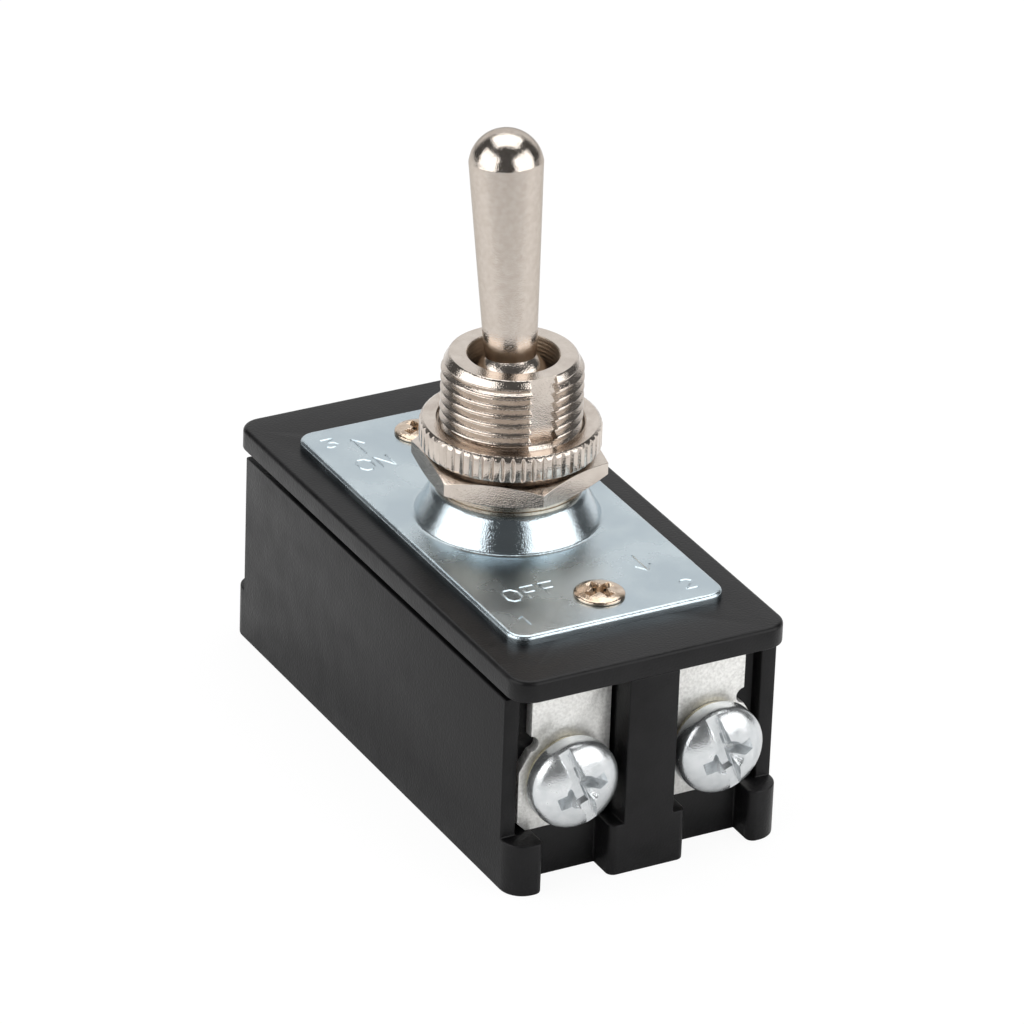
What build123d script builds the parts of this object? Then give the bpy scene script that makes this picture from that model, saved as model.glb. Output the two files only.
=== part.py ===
"""Panel toggle switch with a threaded bushing and four screw terminals.

Millimetres. The origin is the centre of the base's underside, +Z is up, X runs across the body and
Y along it. The keyway of the bushing and the front terminals face -Y.
"""

from math import cos, radians, sin
import os

from build123d import *

os.makedirs("parts", exist_ok=True)

# Moulded base and cover
body_width = 25.4
body_length = 51.6
base_height = 18.1
cover_thickness = 1.9
corner_radius = 2.0
side_wall = 1.4
end_wall = 1.8
floor_thickness = 1.8
side_slot = 0.5
edge_round = 0.4

# Ends of the base: how far each face stands behind the ends of the cover
wall_recess = 2.2
terminal_recess = 2.5
apron_recess = 2.7
rib_width = 4.6
foot_height = 4.7
centre_foot_width = 7.1
corner_foot_width = 3.0
foot_round = 0.7
barrier_width = 1.6

# Cover fittings
cover_opening_radius = 6.8
locator_width = 1.2
locator_depth = 1.6
locator_length = 34.0
locator_gap = 0.1

# Mounting plate and its drawn collar
plate_width = 20.0
plate_end_margin = 5.7
sheet = 0.8
plate_corner = 1.7
collar_base_radius = 8.0
collar_top_radius = 6.5
collar_height = 2.8
collar_bend = 0.7
seat_gap = 0.05

# Plate screws
plate_screw_inset = 4.1
plate_head_radius = 2.15
plate_head_rim = 0.2
plate_head_dome = 0.4
plate_shank_radius = 1.0
plate_shank_length = 9.0
plate_slot_width = 0.8
plate_cross_length = 3.0
plate_cross_depth = 0.45
plate_cross_turn = 15.0
screw_post_radius = 3.0
pilot_gap = 0.02
shank_gap = 0.2

# Bushing
bushing_height = 14.9
thread_radius = 6.0
thread_pitch_radius = 5.72
top_face_radius = 5.2
top_chamfer = 0.65
bore_radius = 3.85
lower_bore_radius = 4.3
lower_bore_depth = 8.7
neck_radius = 5.0
rivet_radius = 5.7
rivet_thickness = 0.8
shoulder_radius = 6.3
shoulder_height = 0.85
keyway_width = 2.2
keyway_depth = 0.95
keyway_length = 5.9

# Nuts on the thread
thread_gap = 0.05
hex_flats = 14.5
hex_thickness = 1.95
hex_chamfer_drop = 0.45
hex_chamfer_angle = 20.0
hex_turn = 8.5
hex_washer_radius = 6.7
hex_washer_face = 0.4
nut_gap = 0.1
between_nuts = 0.4
knurled_radius = 7.68
knurled_thickness = 2.4
knurled_bevel = 0.35
flute_count = 54
flute_radius = 0.22
countersink_radius = 6.26
countersink_depth = 0.4

# Lever, measured along its own axis from the pivot
pivot_depth = 4.7
lever_lean = 6.5
lever_throw = 13.0
ball_radius = 3.25
ball_rise = 2.25
lever_neck_radius = 2.15
bat_start = 5.0
bat_shoulder = 0.36
bat_low_radius = 2.25
bat_top_radius = 3.12
dome_start = 21.5
dome_radius = 3.1
dome_step = 0.05
stem_radius = 1.5
pin_radius = 0.8
pin_end_depth = 1.0
pin_gap = 0.02
pin_running_gap = 0.05

# Actuator, plungers and springs
actuator_top = 14.4
actuator_depth = 5.0
actuator_side = 2.5
actuator_corner = 1.0
stem_end = 17.5
plunger_reach = 22.1
plunger_show = 1.6
plunger_length = 3.6
plunger_radius = 1.5
plunger_tip_round = 1.35
plunger_gap = 0.05
spring_turns = 4.5
spring_coil_radius = 1.1
spring_wire_radius = 0.18
spring_room = 3.3

# Rockers and contacts
rocker_throw = 6.0
rocker_thickness = 1.0
rocker_width = 6.0
rocker_front = 12.5
rocker_back = 6.5
rocker_corner = 0.5
rocker_ear_length = 3.0
rocker_ear_drop = 1.6
rocker_ear_thickness = 0.6
strike_gap = 0.2
saddle_gap = 0.1
saddle_thickness = 1.0
saddle_width = 4.4
contact_radius = 1.6
contact_thickness = 0.8
contact_reach = 10.8
contact_gap = 0.08

# Terminals
terminal_thickness = 1.0
terminal_side_gap = 0.3
terminal_neck_cut = 1.03
terminal_corner = 0.8
terminal_shoulder_low = 10.3
terminal_shoulder_high = 12.0
bite_height = 12.7
bite_radius = 0.7
strip_width = 6.0
strip_tip = 2.0
lid_gap = 0.2

# Terminal screws and washers
screw_height = 9.3
head_radius = 3.95
head_rim = 1.2
head_dome = 1.6
shank_radius = 1.95
thread_clearance = 0.05
screw_hole_gap = 0.25
washer_radius = 3.5
washer_thickness = 0.8
slot_width = 1.1
slot_depth = 1.0
cross_length = 4.4
slot_turn = 20.0

# Places worked out from the sizes above
half_width = body_width / 2
end_y = body_length / 2
side_end_y = end_y - wall_recess
terminal_y = end_y - terminal_recess
wall_y = terminal_y - terminal_thickness
cavity_y = wall_y - end_wall
cavity_x = half_width - side_wall
rib_x = rib_width / 2
pole_x = (rib_x + cavity_x) / 2
terminal_width = cavity_x - rib_x - 2 * terminal_side_gap
poles = {"left": -pole_x, "right": pole_x}
ends = {"front": -1, "rear": 1}
cover_top = base_height + cover_thickness
plate_top = cover_top + sheet
collar_top = plate_top + collar_height
bushing_top = plate_top + bushing_height
pivot_z = bushing_top - pivot_depth
shoulder_top = collar_top + shoulder_height
hex_bottom = shoulder_top + nut_gap + hex_washer_face
hex_top = hex_bottom + hex_thickness
knurled_bottom = hex_top + between_nuts
knurled_top = knurled_bottom + knurled_thickness
thread_bottom = knurled_top + nut_gap
plate_length = body_length - 2 * plate_end_margin
screw_y = plate_length / 2 - plate_screw_inset
web_top = base_height - lid_gap
web_under = web_top - terminal_thickness

# The lever leans from the upright; the rockers lean with it, by the ratio of their throws
lean_sin = sin(radians(lever_lean))
lean_cos = cos(radians(lever_lean))
rocker_lean = radians(lever_lean * rocker_throw / lever_throw)
rocker_top_z = pivot_z - plunger_reach - strike_gap
saddle_radius = saddle_thickness / 2
saddle_z = rocker_top_z - rocker_thickness - saddle_gap - saddle_radius
rocker_under = saddle_radius + saddle_gap
contact_under = rocker_under - contact_thickness
fixed_top_z = (
    saddle_z
    - (contact_reach + contact_radius) * sin(radians(rocker_throw))
    + contact_under * cos(radians(rocker_throw))
    - contact_gap
)
front_strip_top = fixed_top_z - contact_thickness
front_strip_under = front_strip_top - terminal_thickness
contact_y = contact_reach * cos(rocker_lean)

pivot = (0, 0, pivot_z)
lever_axis = Axis(pivot, (0, lean_sin, lean_cos))
lever_profile = Plane(origin=pivot, x_dir=(1, 0, 0), z_dir=(0, -lean_cos, lean_sin))
across_lever = Plane(origin=pivot, x_dir=(1, 0, 0), z_dir=(0, lean_sin, lean_cos))


def side_plane(x):
    """Plane across the body at x, whose own axes are the part's Y and Z."""
    return Plane(origin=(x, 0, 0), x_dir=(0, 1, 0), z_dir=(1, 0, 0))


def end_plane(end, y):
    """Upright plane facing out of one end of the body, at y from the middle."""
    return Plane(origin=(0, end * y, 0), x_dir=(-end, 0, 0), z_dir=(0, end, 0))


def write(part, name):
    """Label a finished piece and write its STEP file."""
    part.label = name
    export_step(part, f"parts/{name}.step")


# Base housing: an open box whose ends hold the terminals between side walls and a centre rib
with BuildPart() as base_housing:
    with BuildSketch():
        Rectangle(body_width, 2 * side_end_y)
    extrude(amount=base_height)
    # Corner feet and centre feet, flush with the ends of the cover
    with BuildSketch():
        RectangleRounded(body_width, body_length, corner_radius)
        foot_gap = half_width - corner_foot_width - centre_foot_width / 2
        gap_x = centre_foot_width / 2 + foot_gap / 2
        with GridLocations(2 * gap_x, 2 * end_y, 2, 2):
            Rectangle(foot_gap, 2 * apron_recess, mode=Mode.SUBTRACT)
        foot_corners = [
            v for v in vertices() if abs(abs(abs(v.X) - gap_x) - foot_gap / 2) < edge_round
        ]
        fillet([v for v in foot_corners if abs(v.Y) > end_y - edge_round], foot_round)
    extrude(amount=foot_height)
    with BuildSketch():
        Rectangle(rib_width, body_length)
    extrude(amount=base_height)
    # Apron between the feet
    with BuildSketch():
        with GridLocations(2 * gap_x, 2 * end_y, 2, 2):
            Rectangle(foot_gap, 2 * apron_recess)
    extrude(amount=base_height, mode=Mode.SUBTRACT)
    # Terminal bays above the feet
    with BuildSketch(Plane.XY.offset(foot_height)):
        with GridLocations(2 * pole_x, 2 * end_y, 2, 2):
            Rectangle(cavity_x - rib_x, 2 * (end_y - wall_y))
    extrude(amount=base_height, mode=Mode.SUBTRACT)
    # Inside of the box
    with BuildSketch(Plane.XY.offset(floor_thickness)):
        Rectangle(2 * cavity_x, 2 * cavity_y)
    extrude(amount=base_height, mode=Mode.SUBTRACT)
    # Barrier between the poles, full height where it carries the screw posts
    with BuildSketch():
        Rectangle(barrier_width, 2 * cavity_y)
    extrude(amount=rocker_top_z)
    with BuildSketch():
        with GridLocations(0, 2 * screw_y, 1, 2):
            Circle(screw_post_radius)
        post_wall = cavity_y - screw_y
        with GridLocations(0, 2 * (screw_y + post_wall / 2), 1, 2):
            Rectangle(barrier_width, post_wall)
    extrude(amount=base_height)
    with GridLocations(0, 2 * screw_y, 1, 2):
        with Locations((0, 0, base_height)):
            Hole(plate_shank_radius + pilot_gap, depth=plate_shank_length)
    # Raised seats under the front contact strips
    seat_length = cavity_y - terminal_thickness - contact_reach + strip_tip
    with BuildSketch():
        with Locations((0, -(cavity_y - terminal_thickness - seat_length / 2))):
            with GridLocations(2 * pole_x, 0, 2, 1):
                Rectangle(strip_width, seat_length)
    extrude(amount=front_strip_under)
    # End walls stop under the terminals' webs, side walls stop short of the cover
    with BuildSketch(Plane.XY.offset(web_under)):
        with GridLocations(2 * pole_x, cavity_y + wall_y, 2, 2):
            Rectangle(cavity_x - rib_x, end_wall)
    extrude(amount=base_height, mode=Mode.SUBTRACT)
    with BuildSketch(Plane.XY.offset(base_height - side_slot)):
        with GridLocations(2 * (half_width - side_wall / 2), 0, 2, 1):
            Rectangle(side_wall, body_length)
    extrude(amount=side_slot, mode=Mode.SUBTRACT)
    # Clearance holes for the terminal screws
    for end in ends.values():
        with BuildSketch(end_plane(end, cavity_y)):
            with Locations((-pole_x, screw_height), (pole_x, screw_height)):
                Circle(shank_radius + screw_hole_gap)
        extrude(amount=end_wall, mode=Mode.SUBTRACT)
write(base_housing.part, "base_housing")

# Cover: a slab with an opening for the bushing and two locating ribs inside the side walls
with BuildPart() as cover:
    with BuildSketch(Plane.XY.offset(base_height)):
        RectangleRounded(body_width, body_length, corner_radius)
    extrude(amount=cover_thickness)
    fillet(cover.faces().sort_by(Axis.Z)[-1].outer_wire().edges(), edge_round)
    with BuildSketch(Plane.XY.offset(base_height - locator_depth)):
        with GridLocations(2 * (cavity_x - locator_gap - locator_width / 2), 0, 2, 1):
            Rectangle(locator_width, locator_length)
    extrude(amount=locator_depth)
    with BuildSketch(Plane.XY.offset(base_height)):
        Circle(cover_opening_radius)
        with GridLocations(0, 2 * screw_y, 1, 2):
            Circle(plate_shank_radius + shank_gap)
    extrude(amount=cover_thickness, mode=Mode.SUBTRACT)
write(cover.part, "cover")

# Mounting plate: flat sheet with a conical collar drawn up round the bushing
collar_hole = neck_radius + seat_gap
sheet_top = collar_top - sheet
with BuildPart() as mounting_plate:
    with BuildSketch(Plane.XY.offset(cover_top)):
        RectangleRounded(plate_width, plate_length, plate_corner)
        Circle(collar_base_radius - sheet, mode=Mode.SUBTRACT)
        with GridLocations(0, 2 * screw_y, 1, 2):
            Circle(plate_shank_radius + shank_gap, mode=Mode.SUBTRACT)
    extrude(amount=sheet)
    with BuildSketch(Plane.XZ):
        with BuildLine():
            FilletPolyline(
                (collar_hole, collar_top),
                (collar_top_radius, collar_top),
                (collar_base_radius, plate_top),
                (collar_base_radius + 2 * collar_bend, plate_top),
                radius=collar_bend,
            )
            Polyline(
                (collar_base_radius + 2 * collar_bend, plate_top),
                (collar_base_radius + 2 * collar_bend, cover_top),
                (collar_base_radius - sheet, cover_top),
                (collar_top_radius - sheet, sheet_top),
                (collar_hole, sheet_top),
                (collar_hole, collar_top),
            )
        make_face()
    revolve(axis=Axis.Z)
write(mounting_plate.part, "mounting_plate")

# Bushing: turned from bar, riveted over the plate's collar, with slots inside for the pivot pin.
# Its free thread is drawn at the crest, and under the nuts at the pitch radius, where the threads mesh.
bushing_bottom = sheet_top - seat_gap - rivet_thickness
with BuildPart() as bushing:
    with BuildSketch(Plane.XZ):
        with BuildLine():
            Polyline(
                (lower_bore_radius, bushing_bottom),
                (rivet_radius, bushing_bottom),
                (rivet_radius, sheet_top - seat_gap),
                (neck_radius, sheet_top - seat_gap),
                (neck_radius, collar_top),
                (shoulder_radius, collar_top),
                (shoulder_radius, shoulder_top),
                (thread_pitch_radius, shoulder_top),
                (thread_pitch_radius, thread_bottom),
                (thread_radius, thread_bottom),
                (thread_radius, bushing_top - top_chamfer),
                (top_face_radius, bushing_top),
                (bore_radius, bushing_top),
                (bore_radius, bushing_top - lower_bore_depth),
                (lower_bore_radius, bushing_top - lower_bore_depth),
                close=True,
            )
        make_face()
    revolve(axis=Axis.Z)
    # Keyway, facing the front terminals
    with BuildSketch(Plane.XY.offset(bushing_top - keyway_length)):
        with Locations((0, -thread_radius)):
            Rectangle(keyway_width, 2 * keyway_depth)
    extrude(amount=keyway_length, mode=Mode.SUBTRACT)
    # Slots that run up the bore and stop at the pin
    with BuildSketch(Plane.YZ):
        with Locations((0, (bushing_bottom + pivot_z) / 2)):
            Rectangle(2 * (pin_radius + pin_gap), pivot_z - bushing_bottom)
        with Locations((0, pivot_z)):
            Circle(pin_radius + pin_gap)
    extrude(amount=bore_radius + pin_end_depth + pin_gap, both=True, mode=Mode.SUBTRACT)
write(bushing.part, "bushing")

# Hex nut with chamfered corners and a washer face below
hex_corner_radius = hex_flats / 2 / cos(radians(30))
hex_chamfer_run = hex_chamfer_drop / sin(radians(hex_chamfer_angle)) * cos(radians(hex_chamfer_angle))
with BuildPart() as hex_nut:
    with BuildSketch(Plane.XY.offset(hex_bottom)):
        RegularPolygon(hex_corner_radius, 6, rotation=30 - hex_turn)
    extrude(amount=hex_thickness)
    with BuildSketch(Plane.XZ):
        with BuildLine():
            Polyline(
                (0, hex_bottom),
                (hex_corner_radius - hex_chamfer_run, hex_bottom),
                (hex_corner_radius, hex_bottom + hex_chamfer_drop),
                (hex_corner_radius, hex_top - hex_chamfer_drop),
                (hex_corner_radius - hex_chamfer_run, hex_top),
                (0, hex_top),
                close=True,
            )
        make_face()
    revolve(axis=Axis.Z, mode=Mode.INTERSECT)
    with BuildSketch(Plane.XY.offset(hex_bottom - hex_washer_face)):
        Circle(hex_washer_radius)
    extrude(amount=hex_washer_face)
    with BuildSketch(Plane.XY.offset(hex_bottom - hex_washer_face)):
        Circle(thread_pitch_radius + thread_gap)
    extrude(amount=hex_thickness + hex_washer_face, mode=Mode.SUBTRACT)
write(hex_nut.part, "hex_nut")

# Knurled ring nut: fluted round its rim and countersunk on top
with BuildPart() as knurled_nut:
    with BuildSketch(Plane.XY.offset(knurled_bottom)):
        Circle(knurled_radius)
        with PolarLocations(knurled_radius, flute_count):
            Circle(flute_radius, mode=Mode.SUBTRACT)
    extrude(amount=knurled_thickness)
    with BuildSketch(Plane.XZ):
        with BuildLine():
            Polyline(
                (thread_pitch_radius + thread_gap, knurled_bottom),
                (knurled_radius - knurled_bevel, knurled_bottom),
                (knurled_radius, knurled_bottom + knurled_bevel),
                (knurled_radius, knurled_top - knurled_bevel),
                (knurled_radius - knurled_bevel, knurled_top),
                (countersink_radius, knurled_top),
                (thread_pitch_radius + thread_gap, knurled_top - countersink_depth),
                close=True,
            )
        make_face()
    revolve(axis=Axis.Z, mode=Mode.INTERSECT)
write(knurled_nut.part, "knurled_nut")

# Toggle lever: bat handle, neck, long ball on the pivot and the stem that carries the actuator
with BuildPart() as toggle_lever:
    ball_top = ball_rise + (ball_radius**2 - lever_neck_radius**2) ** 0.5
    ball_bottom = (ball_radius**2 - stem_radius**2) ** 0.5
    dome_center = dome_start - (dome_radius**2 - (bat_top_radius - dome_step) ** 2) ** 0.5
    with BuildSketch(lever_profile):
        with BuildLine():
            Polyline((0, -stem_end), (stem_radius, -stem_end), (stem_radius, -ball_bottom))
            RadiusArc((stem_radius, -ball_bottom), (ball_radius, 0), -ball_radius)
            Line((ball_radius, 0), (ball_radius, ball_rise))
            RadiusArc((ball_radius, ball_rise), (lever_neck_radius, ball_top), -ball_radius)
            Polyline(
                (lever_neck_radius, ball_top),
                (lever_neck_radius, bat_start),
                (bat_low_radius, bat_start + bat_shoulder),
                (bat_top_radius, dome_start - dome_step),
                (bat_top_radius - dome_step, dome_start),
            )
            RadiusArc(
                (bat_top_radius - dome_step, dome_start), (0, dome_center + dome_radius), -dome_radius
            )
            Line((0, dome_center + dome_radius), (0, -stem_end))
        make_face()
    revolve(axis=lever_axis)
    with BuildSketch(Plane.YZ):
        with Locations((0, pivot_z)):
            Circle(pin_radius + pin_running_gap)
    extrude(amount=ball_radius, both=True, mode=Mode.SUBTRACT)
write(toggle_lever.part, "toggle_lever")

# Pivot pin, held across the bushing
with BuildPart() as pivot_pin:
    with BuildSketch(Plane.YZ):
        with Locations((0, pivot_z)):
            Circle(pin_radius)
    extrude(amount=bore_radius + pin_end_depth, both=True)
write(pivot_pin.part, "pivot_pin")

# Actuator: insulating block on the stem, with a blind bore for each plunger
actuator_bottom = plunger_reach - plunger_show
plunger_top = plunger_reach - plunger_length
bore_end = plunger_top - spring_room
with BuildPart() as actuator:
    with BuildSketch(across_lever.offset(-actuator_bottom)):
        RectangleRounded(2 * (pole_x + actuator_side), actuator_depth, actuator_corner)
    extrude(amount=actuator_bottom - actuator_top)
    with BuildSketch(across_lever.offset(-stem_end)):
        Circle(stem_radius)
    extrude(amount=stem_end - actuator_top, mode=Mode.SUBTRACT)
    with BuildSketch(across_lever.offset(-actuator_bottom)):
        with Locations((-pole_x, 0), (pole_x, 0)):
            Circle(plunger_radius + plunger_gap)
    extrude(amount=actuator_bottom - bore_end, mode=Mode.SUBTRACT)
write(actuator.part, "actuator")

# Plungers with round tips, and the springs behind them
for side, x in poles.items():
    with BuildPart() as plunger:
        with BuildSketch(across_lever.offset(-plunger_top)):
            with Locations((x, 0)):
                Circle(plunger_radius)
        extrude(amount=-plunger_length)
        fillet(plunger.faces().sort_by(lever_axis)[0].edges(), plunger_tip_round)
    write(plunger.part, f"plunger_{side}")

    spring_start = plunger_top - plunger_gap - spring_wire_radius
    spring_height = spring_room - plunger_gap - 2 * spring_wire_radius
    spring_base = across_lever.offset(-spring_start).origin + Vector(x, 0, 0)
    with BuildPart() as plunger_spring:
        with BuildLine() as coil:
            Helix(
                spring_height / spring_turns,
                spring_height,
                spring_coil_radius,
                center=spring_base,
                direction=lever_axis.direction,
            )
        with BuildSketch(Plane(origin=coil.line @ 0, z_dir=coil.line % 0)):
            Circle(spring_wire_radius)
        sweep()
    write(plunger_spring.part, f"plunger_spring_{side}")

# Rockers: each tips on its saddle and carries a contact over the fixed one
for side, x in poles.items():
    rocker_plane = Plane(
        origin=(x, 0, saddle_z), x_dir=(1, 0, 0), z_dir=(0, -sin(rocker_lean), cos(rocker_lean))
    )
    rocker_middle = (rocker_back - rocker_front) / 2
    with BuildPart() as rocker:
        with BuildSketch(rocker_plane.offset(rocker_under)):
            with Locations((0, rocker_middle)):
                RectangleRounded(rocker_width, rocker_front + rocker_back, rocker_corner)
        extrude(amount=rocker_thickness)
        ear_x = rocker_width / 2 - rocker_ear_thickness / 2
        with BuildSketch(rocker_plane.offset(rocker_under - rocker_ear_drop)):
            with GridLocations(2 * ear_x, 0, 2, 1):
                Rectangle(rocker_ear_thickness, rocker_ear_length)
        extrude(amount=rocker_ear_drop)
    write(rocker.part, f"rocker_{side}")

    with BuildPart() as moving_contact:
        with BuildSketch(rocker_plane.offset(contact_under)):
            with Locations((0, -contact_reach)):
                Circle(contact_radius)
        extrude(amount=contact_thickness)
    write(moving_contact.part, f"moving_contact_{side}")

    with BuildPart() as fixed_contact:
        with BuildSketch(Plane.XY.offset(front_strip_top)):
            with Locations((x, -contact_y)):
                Circle(contact_radius)
        extrude(amount=contact_thickness)
    write(fixed_contact.part, f"fixed_contact_{side}")


# Terminals: bent strips, hooked over the end walls and running in to the contacts
for end_name, end in ends.items():
    for side, x in poles.items():
        local_x = -end * x
        outer = 1 if local_x > 0 else -1
        inner_x = local_x - outer * terminal_width / 2
        outer_x = local_x + outer * terminal_width / 2
        neck_x = outer_x - outer * terminal_neck_cut
        leg_x = cavity_y - terminal_thickness
        if end_name == "front":
            foot_top, foot_under, foot_tip = front_strip_top, front_strip_under, contact_y - strip_tip
        else:
            foot_top, foot_under, foot_tip = (
                floor_thickness + terminal_thickness,
                floor_thickness,
                -saddle_thickness,
            )
        with BuildPart() as terminal:
            with BuildSketch(end_plane(end, wall_y)):
                with BuildLine():
                    Polyline(
                        (inner_x, web_top),
                        (inner_x, foot_height + terminal_corner),
                        (inner_x + outer * terminal_corner, foot_height),
                        (outer_x - outer * terminal_corner, foot_height),
                        (outer_x, foot_height + terminal_corner),
                        (outer_x, terminal_shoulder_low),
                        (neck_x, terminal_shoulder_high),
                        (neck_x, web_top),
                        close=True,
                    )
                make_face()
                with Locations((neck_x, bite_height)):
                    Circle(bite_radius, mode=Mode.SUBTRACT)
                with Locations((local_x, screw_height)):
                    Circle(shank_radius + thread_clearance, mode=Mode.SUBTRACT)
            extrude(amount=terminal_thickness)
            with BuildSketch(side_plane(x)):
                with BuildLine():
                    Polyline(
                        (end * terminal_y, web_top),
                        (end * leg_x, web_top),
                        (end * leg_x, foot_top),
                        (end * foot_tip, foot_top),
                        (end * foot_tip, foot_under),
                        (end * cavity_y, foot_under),
                        (end * cavity_y, web_under),
                        (end * terminal_y, web_under),
                        close=True,
                    )
                make_face()
            extrude(amount=strip_width / 2, both=True)
            if end_name == "rear":
                with BuildSketch(side_plane(x)):
                    with Locations((0, (floor_thickness + saddle_z) / 2)):
                        Rectangle(saddle_thickness, saddle_z - floor_thickness)
                    with Locations((0, saddle_z)):
                        Circle(saddle_radius)
                extrude(amount=saddle_width / 2, both=True)
        write(terminal.part, f"terminal_{end_name}_{side}")

        with BuildPart() as washer:
            with BuildSketch(end_plane(end, terminal_y)):
                with Locations((local_x, screw_height)):
                    Circle(washer_radius)
                    Circle(shank_radius + screw_hole_gap, mode=Mode.SUBTRACT)
            extrude(amount=washer_thickness)
        write(washer.part, f"terminal_washer_{end_name}_{side}")


def pan_screw(seat, radius, rim, dome, shank, length, slot, cross, depth, turn):
    """Pan-head screw on a seat plane that faces out of its head, with a slot and a cross recess."""
    top = rim + dome
    with BuildPart() as screw:
        with BuildSketch(Plane(origin=seat.origin, x_dir=seat.x_dir, z_dir=-seat.y_dir)):
            with BuildLine():
                Polyline((0, top), (0, -length), (shank, -length), (shank, 0), (radius, 0), (radius, rim))
                EllipticalCenterArc((0, rim), radius, dome, start_angle=0, arc_size=90)
            make_face()
        revolve(axis=Axis(seat.origin, seat.z_dir))
        with BuildSketch(seat.offset(top - depth)):
            Rectangle(slot[0], slot[1], rotation=turn)
            Rectangle(cross, slot[0], rotation=turn)
        extrude(amount=depth, mode=Mode.SUBTRACT)
    return screw.part


# Terminal screws, slotted and crossed, with their shanks through the end walls
for end_name, end in ends.items():
    for side, x in poles.items():
        seat_y = end * (terminal_y + washer_thickness)
        seat = Plane(origin=(x, seat_y, screw_height), x_dir=(-end, 0, 0), z_dir=(0, end, 0))
        screw = pan_screw(
            seat,
            head_radius,
            head_rim,
            head_dome,
            shank_radius,
            washer_thickness + terminal_thickness + end_wall - thread_clearance,
            (slot_width, 2 * head_radius),
            cross_length,
            slot_depth,
            slot_turn,
        )
        write(screw, f"terminal_screw_{end_name}_{side}")

# Plate screws, through the plate and the cover into the posts
for end_name, end in ends.items():
    seat = Plane(origin=(0, end * screw_y, plate_top), x_dir=(1, 0, 0), z_dir=(0, 0, 1))
    screw = pan_screw(
        seat,
        plate_head_radius,
        plate_head_rim,
        plate_head_dome,
        plate_shank_radius,
        plate_shank_length,
        (plate_slot_width, plate_cross_length),
        plate_cross_length,
        plate_cross_depth,
        plate_cross_turn,
    )
    write(screw, f"plate_screw_{end_name}")
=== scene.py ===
"""Looks of the panel toggle switch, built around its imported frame.

The numbers are in millimetres, and times mm where Blender takes metres.
"""

from math import cos, pi, radians, sin

import bmesh
import bpy
from mathutils import Matrix, Vector


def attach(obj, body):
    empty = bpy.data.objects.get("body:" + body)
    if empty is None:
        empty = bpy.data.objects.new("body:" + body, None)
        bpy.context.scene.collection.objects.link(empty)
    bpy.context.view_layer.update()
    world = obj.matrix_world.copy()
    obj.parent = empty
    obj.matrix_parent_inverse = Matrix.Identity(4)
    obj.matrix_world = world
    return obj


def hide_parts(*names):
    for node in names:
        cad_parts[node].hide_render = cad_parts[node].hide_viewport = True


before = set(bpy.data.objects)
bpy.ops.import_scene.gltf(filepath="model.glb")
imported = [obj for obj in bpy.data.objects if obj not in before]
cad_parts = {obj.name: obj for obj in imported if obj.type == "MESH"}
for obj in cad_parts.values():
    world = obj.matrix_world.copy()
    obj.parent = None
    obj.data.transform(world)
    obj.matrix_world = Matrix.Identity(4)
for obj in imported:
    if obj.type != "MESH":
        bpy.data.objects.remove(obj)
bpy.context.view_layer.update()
bpy.ops.object.select_all(action="DESELECT")
mm = 0.001


# Camera: a long lens, above and to the left of the front terminals, rolled a little as the
# photograph's is.
turn, lift, roll = radians(-29.134), radians(27.646), radians(2.147)
camera_distance, camera_right_shift, camera_up_shift = 604.66, 0.236, -3.74
lens_length, film_width, nearest = 254.47, 36, 0.01
back = Vector((sin(turn) * cos(lift), -cos(turn) * cos(lift), sin(lift)))
side = Vector((cos(turn), sin(turn), 0))
over = back.cross(side)
camera_right = side * cos(roll) + over * sin(roll)
camera_up = over * cos(roll) - side * sin(roll)
aim = Vector((0, 0, 25 * mm))
bpy.ops.object.camera_add()
camera = bpy.context.object
camera.data.sensor_width = film_width
camera.data.lens = lens_length
camera.data.clip_start = nearest
camera_place = Matrix((camera_right, camera_up, back)).transposed().to_4x4()
camera_place.translation = aim + mm * (
    back * camera_distance + camera_right * camera_right_shift + camera_up * camera_up_shift
)
camera.matrix_world = camera_place
bpy.context.scene.camera = camera
bpy.context.scene.view_settings.view_transform = "Standard"


# Studio: a white table, one soft box overhead and one at each side of the camera, and a pale wall
# behind the switch. The room between them is dim, as the polished dome of the lever shows. The
# table is seen from above only, so that the underside of the switch shows too.
side_level, top_level = 2.15, 2.25
dim_wall, pale_wall, wall_from, wall_to = 0.1, 0.9, 0.56, 0.73
room_level, backdrop_level = 0.42, 1.0
table_size, table_drop = 6, 0.01
# The table's colour is painted darker in front of the switch, towards the camera, over the span
# given in millimetres. This painted shade is what the metal parts show in their reflections of the
# table.
paper_far, paper_painted_shade, near_from, near_to = 0.76, 0.6, 45, 95
paper_glow, glow_share = 1.03, 0.9


def soft_box(name, bearing, height, distance, width, depth, level):
    """An area lamp that faces the switch.

    bearing is in degrees to the right of the camera, height in degrees above the aim, and the rest
    in metres.
    """
    angle = turn + radians(bearing)
    outward = Vector((
        sin(angle) * cos(radians(height)), -cos(angle) * cos(radians(height)), sin(radians(height))
    ))
    bpy.ops.object.light_add(type="AREA")
    lamp = bpy.context.object
    lamp.name = name
    lamp.location = aim + outward * distance
    lamp.rotation_euler = outward.to_track_quat("Z", "Y").to_euler()
    lamp.data.shape = "RECTANGLE"
    lamp.data.size = width
    lamp.data.size_y = depth
    lamp.data.energy = level * pi * width * depth


soft_box("left_box", -64, 24, 0.55, 0.67, 0.45, side_level)
soft_box("right_box", 64, 24, 0.55, 0.67, 0.45, side_level)
soft_box("top_box", 180, 72, 0.6, 0.7, 0.54, top_level)

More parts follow.
